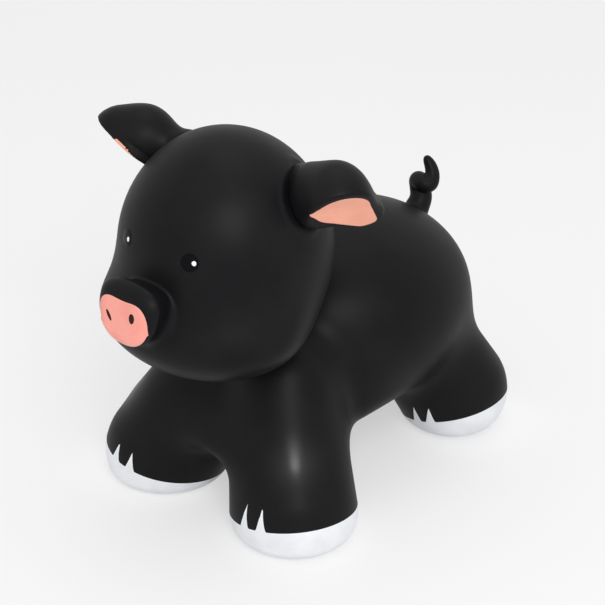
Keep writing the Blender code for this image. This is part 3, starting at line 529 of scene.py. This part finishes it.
glosses = {
    "cloud": (180.0, 2.0), "cloudSpan": (0.4, 0.7), "cloudRoughness": 0.05, "coatRoughness": 0.05,
    "eyeGloss": {"shade": (0.0012, 0.0011, 0.0022, 1), "worn": (0.0020, 0.0018, 0.0032, 1), "roughness": 0.34,
                 "specular": 0.085, "coat": 0.0},
    "glintWhite": {"shade": (0.95, 0.95, 0.95, 1), "worn": (0.90, 0.90, 0.91, 1), "roughness": 0.25,
                   "specular": 0.5, "coat": 0.3},
}


def gloss(name, shade, worn, roughness, specular, coat):
    # a smooth enamel, a little uneven in shade and shine
    material, shader, place = newMaterial(name)
    cloud = place.noise(*glosses["cloud"]).between(*glosses["cloudSpan"])
    feed(shader, {
        "Base Color": cloud.mix(shade, worn),
        "Roughness": cloud * glosses["cloudRoughness"] + roughness,
    })
    shader.inputs["Specular IOR Level"].default_value = specular
    shader.inputs["Coat Weight"].default_value = coat
    shader.inputs["Coat Roughness"].default_value = glosses["coatRoughness"]
    return material


skinRubber = blackRubber("blackSkin")
snoutPink = softPaint("snoutPink", **paints["snoutPink"])
liningPinkLightened = softPaint("liningPinkLightened", **paints["liningPinkLightened"])
hoofWhite = softPaint("hoofWhite", **paints["hoofWhite"])
eyeGloss = gloss("eyeGloss", **glosses["eyeGloss"])
glintWhite = gloss("glintWhite", **glosses["glintWhite"])
nostrilDark = softPaint("nostrilDark", **paints["nostrilDark"])
plugWhite = softPaint("plugWhite", **paints["plugWhite"])
print("materials made")


# Skin pieces, cut from nets of the one skin

skin = {
    "low": (-182, -275, 0), "high": (182, 268, 462), "facet": 3.4,
    # the head's piece starts where y and z, weighted by neckWay, pass neckStart; neckEnd lies further along
    # that way
    "neckWay": (0.0, -0.65, 0.76), "neckStart": 182.0, "neckStill": 1.0, "neckEnd": 210.0,
    "squashLow": 20.0, "squashHigh": 100.0,
}
neckWay = np.array(skin["neckWay"])


def aboveNeck(points):
    # past the plane where the head's piece starts
    return points @ neckWay > skin["neckStart"]


wholePoints, wholeQuads = netOver(skinShape, skin["low"], skin["high"], skin["facet"])
points, quads = keptFaces(wholePoints, wholeQuads, lambda middle: ~aboveNeck(middle))
bodySkin = skinPiece("bodySkin", points, quads, skinShape)
print("body skin:", len(quads), "quads")

points, quads = keptFaces(wholePoints, wholeQuads, aboveNeck)
headSkin = skinPiece("headSkin", points, quads, skinShape)
print("head skin:", len(quads), "quads")

# each ear is a closed leaf whose root stands in the head, so no gap opens where it flexes
earSkins = {}
for side, word in bothSides:
    parts = earOf[word]
    reach = ears["netShare"] * parts["radii"][:, None] + ears["netMargin"]
    low, high = (parts["places"] - reach).min(0), (parts["places"] + reach).max(0)
    points, quads = netOver(parts["shape"], low, high, ears["facet"])
    earSkins[word] = mirroredPiece("earSkin" + word.title(), points, quads.tolist(), skinRubber,
                                   unit(slopeOf(parts["shape"], points)), side)
    print("ear skin:", len(quads), "quads")


def blendBody(piece):
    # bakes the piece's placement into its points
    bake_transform(piece)


def blendEar(piece, side):
    # works out the ear's span from flexStart to flexLength, then bakes the piece's placement into its points
    start = (earPivot + ears["flexStart"] * earAxis) * (side, 1, 1)
    end = (earPivot + ears["flexLength"] * earAxis) * (side, 1, 1)
    tuple(start * millimetre)
    tuple(end * millimetre)
    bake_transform(piece)


blendBody(bodySkin)
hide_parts("torso", "leg_front_left", "leg_front_right", "leg_rear_left", "leg_rear_right",
            "tail_root")
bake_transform(headSkin)
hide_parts("head", "neck", "muzzle", "ear_root_left", "ear_root_right")
for side, word in bothSides:
    blendEar(earSkins[word], side)
    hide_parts("ear_" + word)


# Hooves: white paint over the feet, up to a tilted line with two toe tongues

hoof = {
    "front": {"foot": (98.0, -109.0), "radius": 70.0, "line": 29.0, "rise": 14.0, "turn": 62.0},
    "rear": {"foot": (94.5, 195.0), "radius": 68.0, "line": 31.0, "rise": 18.0, "turn": 105.0},
    # each foot's toes: their turn round the foot, their height and how far apart they stand
    "frontLeft": (0.0, 27.5, 23.5), "frontRight": (3.8, 21.5, 23.5),
    "rearLeft": (6.0, 22.5, 19.0), "rearRight": (6.0, 22.5, 19.0),
    "toeHalfWidth": 6.3, "toeLean": 2.2, "toePower": 1.2, "paint": 0.25, "columns": 288, "rows": 44,
    # rows start outside the wall and walk in, from floorEdge up; the sole's start below the floor
    "floorEdge": 5.0, "outside": 25.0, "below": -12.0, "soleRows": 14, "soleShare": 0.985,
}
# how a painted part's points walk onto the skin: from this far off, in passes, no further than reach, then in
# settling passes; crowding packs its rings closer by the outline
walk = {"off": 8.0, "passes": 60, "reach": 24.0, "settling": 5, "crowding": 1.8}


def hoofTop(sizes, angles, toes):
    # the line's height at each angle round the foot: a cosine, and two leaning triangles for the toes
    toeTurn, toeHeight, toeSpacing = toes
    height = sizes["line"] + sizes["rise"] * np.cos(angles - math.radians(sizes["turn"]))
    arc = sizes["radius"] * np.angle(np.exp(1j * (angles - math.radians(toeTurn))))
    for centre in (-0.5, 0.5):
        along = arc - centre * toeSpacing
        rising = (along + hoof["toeHalfWidth"]) / (hoof["toeHalfWidth"] - hoof["toeLean"])
        falling = (hoof["toeHalfWidth"] - along) / (hoof["toeHalfWidth"] + hoof["toeLean"])
        height = height + toeHeight * np.clip(np.minimum(rising, falling), 0.0, 1.0) ** hoof["toePower"]
    return height


def walkedIn(points, direction, shape):
    # each pass moves every point along its direction by its own distance, until it lies on the surface
    for _ in range(walk["passes"]):
        points = points + direction * inBlocks(shape, points)[:, None]
    return points


def newHoof(place, side, word):
    # rows climb the wall in height, from just above the floor; further rows close the sole towards its middle
    sizes = hoof[place]
    foot = np.array((*sizes["foot"], 0.0))
    angles = np.linspace(0.0, 2 * math.pi, hoof["columns"], endpoint=False)
    direction = np.stack([np.sin(angles), -np.cos(angles), np.zeros_like(angles)], 1)
    share = np.linspace(0.0, 1.0, hoof["rows"])[:, None]
    top = hoofTop(sizes, angles, hoof[place + word.title()])
    heights = hoof["floorEdge"] + (top - hoof["floorEdge"]) * share
    start = foot + (sizes["radius"] + hoof["outside"]) * direction[None] + heights[..., None] * (0, 0, 1)
    wall = walkedIn(start.reshape(-1, 3), np.tile(-direction, (len(share), 1)), bodyShape)
    wall = wall.reshape(len(share), -1, 3)
    sole = [wall[0]]
    for inward in np.linspace(0.0, 1.0, hoof["soleRows"])[1:]:
        shrunk = foot + (wall[0] - foot) * (1.0 - inward * hoof["soleShare"])
        shrunk[:, 2] = hoof["below"]
        sole.append(walkedIn(shrunk, np.tile((0.0, 0.0, 1.0), (len(shrunk), 1)), bodyShape))
    rows = np.concatenate([np.array(sole[:0:-1]), wall])
    flat = rows.reshape(-1, 3)
    slope = unit(slopeOf(bodyShape, flat))
    flat = flat + hoof["paint"] * slope
    flat[:, 2] = np.maximum(flat[:, 2], 0.0)
    flat = np.concatenate([flat, foot[None]])
    slope = np.concatenate([slope, [[0, 0, -1]]])
    faces = gridFaces(len(rows), hoof["columns"])
    faces += [face[::-1] for face in fanFaces(0, hoof["columns"], len(flat) - 1)]
    name = "hoof" + place.title() + word.title()
    piece = mirroredPiece(name, flat, faces, hoofWhite, slope, side)
    blendBody(piece)
    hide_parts("hoof_%s_%s" % (place, word))


for place in ("front", "rear"):
    for side, word in bothSides:
        newHoof(place, side, word)
print("hooves painted")


# Snout: a pink shield over the muzzle's face, with its nostrils

snout = {
    "halves": (34.2, 27.0), "drop": 6.2, "power": 2.7, "paint": 0.3, "dip": 0.15, "dipSpread": 26.0,
    "lipLine": -13.0, "lipCurve": 0.006, "lipRise": 1.0, "lipStep": 1.2, "lipFade": 14.0,
    "corner": 0.05, "cornerAngle": -17.0, "cornerSpread": 4.5, "edge": 0.93, "columns": 180, "rows": 36,
}
nostrils = {
    "left": {"place": (15.0, 1.3), "halves": (3.7, 5.5), "turn": 4.0},
    "right": {"place": (-17.2, -4.6), "halves": (2.0, 6.6), "turn": 37.0},
    "paint": 0.45, "columns": 48, "rows": 10,
}


def facedOn(name, outline, face, shape, paint, rows, material, side=1, reach=walk["reach"]):
    # rings that shrink from an outline to its middle, closest together by the outline, walked in along the
    # facing direction onto the skin; a point that finds nothing within the reach settles on the nearest skin
    centre, right, up, outward = face
    share = (1.0 - np.linspace(0.0, 1.0, rows) ** walk["crowding"])[:-1]
    flat = (outline[None] * share[:, None, None]).reshape(-1, 2)
    flat = np.concatenate([flat, [[0.0, 0.0]]])
    start = centre + flat[:, :1] * right + flat[:, 1:] * up + walk["off"] * outward
    travel = np.zeros(len(start))
    for _ in range(walk["passes"]):
        travel = np.clip(travel + inBlocks(shape, start - travel[:, None] * outward), 0.0, reach)
    points = settled(start - travel[:, None] * outward, shape, walk["settling"])
    slope = unit(slopeOf(shape, points))
    count = len(outline)
    faces = gridFaces(rows - 1, count) + fanFaces((rows - 2) * count, count, len(points) - 1)
    return mirroredPiece(name, points + paint * slope, faces, material, slope, side)


def padSkin(points):
    # the muzzle's skin, swollen below a curved mouth line into a lip
    offset = points - padCentre
    line = snout["lipLine"] + snout["lipCurve"] * offset[..., 0] ** 2
    depth = line - offset @ muzzleUp
    below = np.clip(depth / snout["lipStep"], 0.0, 1.0)
    fade = np.clip(1.0 - depth / snout["lipFade"], 0.0, 1.0)
    return skullShape(points) - snout["lipRise"] * below * below * (3.0 - 2.0 * below) * fade


# a squared circle, dipped in the middle of its top, with a small point at either corner of the mouth
angles = np.linspace(0.0, 2 * math.pi, snout["columns"], endpoint=False)
dip = snout["dip"] * np.exp(-((angles - math.pi / 2) / math.radians(snout["dipSpread"])) ** 2)
corner = np.zeros_like(angles)
for turn in (snout["cornerAngle"], 180.0 - snout["cornerAngle"]):
    off = np.angle(np.exp(1j * (angles - math.radians(turn))))
    corner += snout["corner"] * np.exp(-(off / math.radians(snout["cornerSpread"])) ** 2)
squared = np.stack([np.cos(angles), np.sin(angles)], 1)
squared = np.sign(squared) * np.abs(squared) ** (2.0 / snout["power"])
outline = squared * snout["halves"] * (1.0 - dip + corner)[:, None]
padCentre = muzzleCentre - snout["drop"] * muzzleUp
# the shield stops short of the muzzle's own outline
section = muzzleSection(outline[:, 0], outline[:, 1] - snout["drop"])
outline /= np.maximum(section / snout["edge"], 1.0)[:, None]
snoutPad = facedOn("snoutPad", outline, (padCentre, muzzleRight, muzzleUp, muzzleOut), padSkin,
                   snout["paint"], snout["rows"], snoutPink)
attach(snoutPad, "head")
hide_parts("snout_pad")

angles = np.linspace(0.0, 2 * math.pi, nostrils["columns"], endpoint=False)
for word in ("left", "right"):
    sizes = nostrils[word]
    wide, high = sizes["halves"]
    turn = math.radians(sizes["turn"])
    x, y = wide * np.cos(angles), high * np.sin(angles)
    oval = np.stack([x * math.cos(turn) - y * math.sin(turn), x * math.sin(turn) + y * math.cos(turn)], 1)
    middle = muzzleCentre + sizes["place"][0] * muzzleRight + sizes["place"][1] * muzzleUp
    nostril = facedOn("nostril" + word.title(), oval, (middle, muzzleRight, muzzleUp, muzzleOut), skullShape,
                      nostrils["paint"], nostrils["rows"], nostrilDark)
    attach(nostril, "head")
    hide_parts("nostril_" + word)
print("snout made")


# Eyes: low glossy domes, each with a white glint

eye = {
    "place": (45.2, -210.6, 361.4), "radius": 10.0, "depth": 0.9, "settling": 6,
    "glint": 2.8, "glintDepth": 0.7, "glintShift": 4.6, "glintSink": 0.25,
    "rimSink": 0.15, "rows": 14, "columns": 48,
}


def dome(name, face, radius, depth, material):
    # height falls as 1 - r^2 from the middle to the rim, which lies just under the skin
    centre, right, up, outward = face
    share = np.linspace(1.0, 0.0, eye["rows"])[:-1]
    turn = np.linspace(0.0, 2 * math.pi, eye["columns"], endpoint=False)
    ring = np.stack([np.cos(turn), np.sin(turn)], 1)
    flat = np.concatenate([(ring[None] * share[:, None, None]).reshape(-1, 2), [[0.0, 0.0]]])
    rise = (1.0 - (flat ** 2).sum(1)) * (depth + eye["rimSink"]) - eye["rimSink"]
    points = centre + radius * (flat[:, :1] * right + flat[:, 1:] * up) + rise[:, None] * outward
    faces = gridFaces(len(share), len(turn))
    faces += fanFaces((len(share) - 1) * len(turn), len(turn), len(points) - 1)
    return newPiece(name, points, faces, material)


for side, word in bothSides:
    place = settled(np.array([eye["place"]]) * (side, 1, 1), skullShape, eye["settling"])
    outward = unit(slopeOf(skullShape, place))[0]
    right = unit(np.cross((0.0, 0.0, 1.0), outward))
    up = np.cross(outward, right)
    middle = place[0]
    shifted = middle + (eye["depth"] - eye["glintSink"]) * outward + eye["glintShift"] * right
    disc = dome("eye" + word.title(), (middle, right, up, outward), eye["radius"], eye["depth"],
                eyeGloss)
    glint = dome("glint" + word.title(), (shifted, right, up, outward), eye["glint"], eye["glintDepth"],
                 glintWhite)
    for piece, node in ((disc, "eye_"), (glint, "glint_")):
        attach(piece, "head")
        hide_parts(node + word)
print("eyes made")


# Ear linings: a pointed leaf in each ear's face, which stops a border short of the ear's own edge

linings = {"paint": 0.3, "rows": 24, "reach": 12.5, "spokes": 120, "spokeLength": 98.0, "spokeSteps": 400}
angles = np.linspace(0.0, 2 * math.pi, linings["spokes"], endpoint=False)
reach = np.linspace(0.0, linings["spokeLength"], linings["spokeSteps"])
for side, word in bothSides:
    # along each spoke from the middle of the face, the first place outside the leaf or the lining
    parts = earOf[word]
    centre, across, up = parts["face"][:3]
    spokes = np.cos(angles)[:, None] * across + np.sin(angles)[:, None] * up
    samples = centre + reach[None, :, None] * spokes[:, None]
    flat = samples.reshape(-1, 3)
    outside = np.maximum(parts["leaf"](flat) + parts["border"], parts["lining"](flat)) > 0.0
    edge = reach[np.argmax(outside.reshape(samples.shape[:2]), axis=1)]
    outline = np.stack([edge * np.cos(angles), edge * np.sin(angles)], 1)
    lining = facedOn("earLining" + word.title(), outline, parts["face"], parts["shape"], linings["paint"],
                     linings["rows"], liningPinkLightened, side, linings["reach"])
    blendEar(lining, side)
    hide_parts("ear_lining_" + word)
print("ear linings made")


# Tail: limbs along a smooth line through its bends, which lean back, loop once and end in a horn

tail = {
    "foot": (0.0, 233.0, 238.0), "size": 66.0, "stem": 12.5, "blend": 2.5, "facet": 1.5, "steps": 4,
    # each bend's x, y and height as shares of the size, and its girth as a share of the stem's radius
    "bends": ((0.0, 0.0, -0.20, 1.05), (0.03, 0.10, 0.11, 1.06), (0.02, 0.20, 0.27, 0.98),
              (-0.05, 0.245, 0.415, 0.90), (-0.06, 0.21, 0.57, 0.82), (0.10, 0.14, 0.575, 0.75),
              (0.185, 0.205, 0.565, 0.72), (0.19, 0.28, 0.63, 0.66), (0.16, 0.335, 0.74, 0.59),
              (0.10, 0.35, 0.865, 0.50), (0.03, 0.335, 0.985, 0.34)),
}


def smoothed(bends):
    # places between bends, where a cubic runs from b to c with the slopes (c - a) / 2 and (d - b) / 2
    share = np.linspace(0.0, 1.0, tail["steps"], endpoint=False)[:, None]
    ends = np.concatenate([2 * bends[:1] - bends[1:2], bends, 2 * bends[-1:] - bends[-2:-1]])
    spans = []
    for a, b, c, d in zip(ends, ends[1:], ends[2:], ends[3:]):
        first, second, third = c - a, 2 * a - 5 * b + 4 * c - d, 3 * b - a - 3 * c + d
        spans.append(0.5 * (2 * b + first * share + second * share ** 2 + third * share ** 3))
    return np.concatenate(spans + [bends[-1:]])


bends = smoothed(np.array(tail["bends"]))
tailPlaces = np.array(tail["foot"]) + tail["size"] * bends[:, :3]
tailGirths = tail["stem"] * bends[:, 3]


def tailShape(points):
    # a limb from each place to the next, joined softly
    nearest = limb(points, tailPlaces[0], tailPlaces[1], tailGirths[0], tailGirths[1])
    for k in range(1, len(bends) - 1):
        link = limb(points, tailPlaces[k], tailPlaces[k + 1], tailGirths[k], tailGirths[k + 1])
        nearest = joined(nearest, link, tail["blend"])
    return nearest


reach = tailGirths.max() + tail["blend"]
points, quads = netOver(tailShape, tailPlaces.min(0) - reach, tailPlaces.max(0) + reach, tail["facet"])
tailSkin = skinPiece("tailSkin", points, quads, tailShape)
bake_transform(tailSkin)
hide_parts("tail")
print("tail made:", len(quads), "quads")


# Air valve under the belly: a seat let into the skin, and a plug with ribs round its stem

valve = {"place": (0.0, 62.0, 80.0), "steps": 72, "bevel": 0.0003}
# radii, then heights above the valve's place
seat = {"bore": 7.6, "body": 12.0, "lip": 16.0, "high": 13.0, "lipHigh": -0.3, "lipLow": -1.9}
plug = {
    "pinhole": 0.01, "cap": 12.0, "stem": 6.6, "rib": 7.2, "tip": 4.6,
    "capLow": -4.6, "capHigh": -2.2, "stemHigh": 15.5, "tipHigh": 18.8,
    "ribs": 3, "ribSpacing": 4.5, "ribHalf": 1.1,
}


def turnedPiece(name, profile, material):
    # a profile of radius and height turned round the valve's axis
    turn = np.linspace(0.0, 2 * math.pi, valve["steps"], endpoint=False)
    profile = np.array(profile)
    height = np.repeat(profile[:, 1:], valve["steps"], 1)
    points = np.stack([profile[:, :1] * np.cos(turn), profile[:, :1] * np.sin(turn), height], -1)
    points = points.reshape(-1, 3) + valve["place"]
    piece = newPiece(name, points, gridFaces(len(profile), valve["steps"]), material)
    bevel = piece.modifiers.new("softEdges", "BEVEL")
    bevel.width, bevel.segments, bevel.limit_method = valve["bevel"], 2, "ANGLE"
    return piece


profile = [(seat["bore"], seat["high"]), (seat["bore"], seat["lipLow"]), (seat["lip"], seat["lipLow"]),
           (seat["lip"], seat["lipHigh"]), (seat["body"], seat["lipHigh"]), (seat["body"], seat["high"])]
valveSeat = turnedPiece("valveSeat", profile, skinRubber)
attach(valveSeat, "torso")
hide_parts("valve_seat")

profile = [(plug["pinhole"], plug["capLow"]), (plug["cap"], plug["capLow"]), (plug["cap"], plug["capHigh"]),
           (plug["stem"], plug["capHigh"])]
for rib in range(1, plug["ribs"] + 1):
    height = plug["capHigh"] + plug["ribSpacing"] * rib
    profile += [(plug["stem"], height - plug["ribHalf"]), (plug["rib"], height),
                (plug["stem"], height + plug["ribHalf"])]
profile += [(plug["stem"], plug["stemHigh"]), (plug["tip"], plug["tipHigh"]),
            (plug["pinhole"], plug["tipHigh"])]
valvePlug = turnedPiece("valvePlug", profile, plugWhite)
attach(valvePlug, "plug")
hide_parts("valve_plug")
print("valve made")


# Floor, light and camera

stage = {
    "shade": (0.90, 0.90, 0.905, 1), "grain": (0.88, 0.88, 0.885, 1), "grainScale": 3.0,
    "roughness": 0.9, "specular": 0.1, "halfWidth": 3.0, "behind": 1.2, "drop": 0.0002, "steps": 41,
    "backdrop": (0.975, 0.975, 0.975, 1), "lift": 0.52, "sky": (0.93, 0.93, 0.94, 1), "skyStrength": 0.79,
}
lamps = {
    "keyLamp": {"place": (1.53, -1.29, 1.82), "target": (0.1, -0.1, 0.12), "size": 1.15, "power": 25.0},
    "topLamp": {"place": (-0.2, 0.3, 2.4), "target": (0, 0, 0.2), "size": 1.2, "power": 5.0},
}
camera = {
    "azimuth": 40.1, "elevation": 27.7, "target": (0.0, 0.026, 0.2484), "distance": 2.310,
    "lens": 119.74, "sensor": 36.0, "shiftX": -0.0026, "shiftY": -0.0615,
}
scene = bpy.context.scene
scene.view_settings.view_transform = "Standard"


def seenDirectly(tree):
    # 1 for rays from the camera and through gloss and glass, 0 for the light that reaches the piglet
    path = tree.nodes.new("ShaderNodeLightPath")
    straight, glossy, clear = (Wire(tree, path.outputs[name])
                               for name in ("Is Camera Ray", "Is Glossy Ray", "Is Transmission Ray"))
    return straight.maths("MAXIMUM", straight, glossy.maths("MAXIMUM", glossy, clear))


def newFloor():
    # a flat grid just under the feet, set back so that it fills the view
    span = np.linspace(-stage["halfWidth"], stage["halfWidth"], stage["steps"])
    x, y = np.meshgrid(span, span + stage["behind"], indexing="xy")
    points = np.stack([x, y, np.full_like(x, -stage["drop"])], -1).reshape(-1, 3)
    mesh = bpy.data.meshes.new("studioFloor")
    mesh.from_pydata(points.tolist(), [], gridFaces(stage["steps"], stage["steps"], False))
    mesh.shade_smooth()
    floor = bpy.data.objects.new("studioFloor", mesh)
    scene.collection.objects.link(floor)
    material, shader, place = newMaterial("studioFloor")
    feed(shader, {"Base Color": place.noise(stage["grainScale"]).mix(stage["shade"], stage["grain"])})
    shader.inputs["Roughness"].default_value = stage["roughness"]
    shader.inputs["Specular IOR Level"].default_value = stage["specular"]
    # a share of plain backdrop tone is laid over the lit floor, which thins the shadow but keeps it
    tree = place.tree
    lifted = seenDirectly(tree) * stage["lift"]
    plain = lifted.add("ShaderNodeEmission", {}, {"Color": stage["backdrop"], "Strength": 1.0})
    surface = lifted.add("ShaderNodeMixShader", {}, {0: lifted, 1: Wire(tree, shader.outputs[0]), 2: plain})
    tree.links.new(surface.socket, tree.nodes["Material Output"].inputs["Surface"])
    mesh.materials.append(material)


def newSky():
    # an even light from all round, behind which rays from the camera see the backdrop
    world = bpy.data.worlds.new("studio")
    world.use_nodes = True
    scene.world = world
    tree = world.node_tree
    background = tree.nodes["Background"]
    background.inputs["Color"].default_value = stage["sky"]
    background.inputs["Strength"].default_value = stage["skyStrength"]
    light = Wire(tree, background.outputs[0])
    plain = light.add("ShaderNodeBackground", {}, {"Color": stage["backdrop"], "Strength": 1.0})
    backdrop = light.add("ShaderNodeMixShader", {}, {0: seenDirectly(tree), 1: light, 2: plain})
    tree.links.new(backdrop.socket, tree.nodes["World Output"].inputs["Surface"])


def setUp(name, data, place, target):
    # a lamp or a camera at its place, turned so that it looks at its target
    fixture = bpy.data.objects.new(name, data)
    scene.collection.objects.link(fixture)
    fixture.location = place
    fixture.rotation_euler = (Vector(target) - Vector(place)).to_track_quat("-Z", "Y").to_euler()
    return fixture


def newCamera():
    # at its distance from the target, by its azimuth from -Y towards +X and its elevation
    azimuth, elevation = math.radians(camera["azimuth"]), math.radians(camera["elevation"])
    outward = Vector((math.cos(elevation) * math.sin(azimuth), -math.cos(elevation) * math.cos(azimuth),
                      math.sin(elevation)))
    target = Vector(camera["target"])
    lens = bpy.data.cameras.new("photoCamera")
    lens.lens, lens.sensor_width = camera["lens"], camera["sensor"]
    lens.shift_x, lens.shift_y = camera["shiftX"], camera["shiftY"]
    scene.camera = setUp("photoCamera", lens, target + camera["distance"] * outward, target)


newFloor()
newSky()
for name, sizes in lamps.items():
    lamp = bpy.data.lights.new(name, "AREA")
    lamp.shape, lamp.size, lamp.energy = "DISK", sizes["size"], sizes["power"]
    setUp(name, lamp, sizes["place"], sizes["target"])
newCamera()
print("stage set")
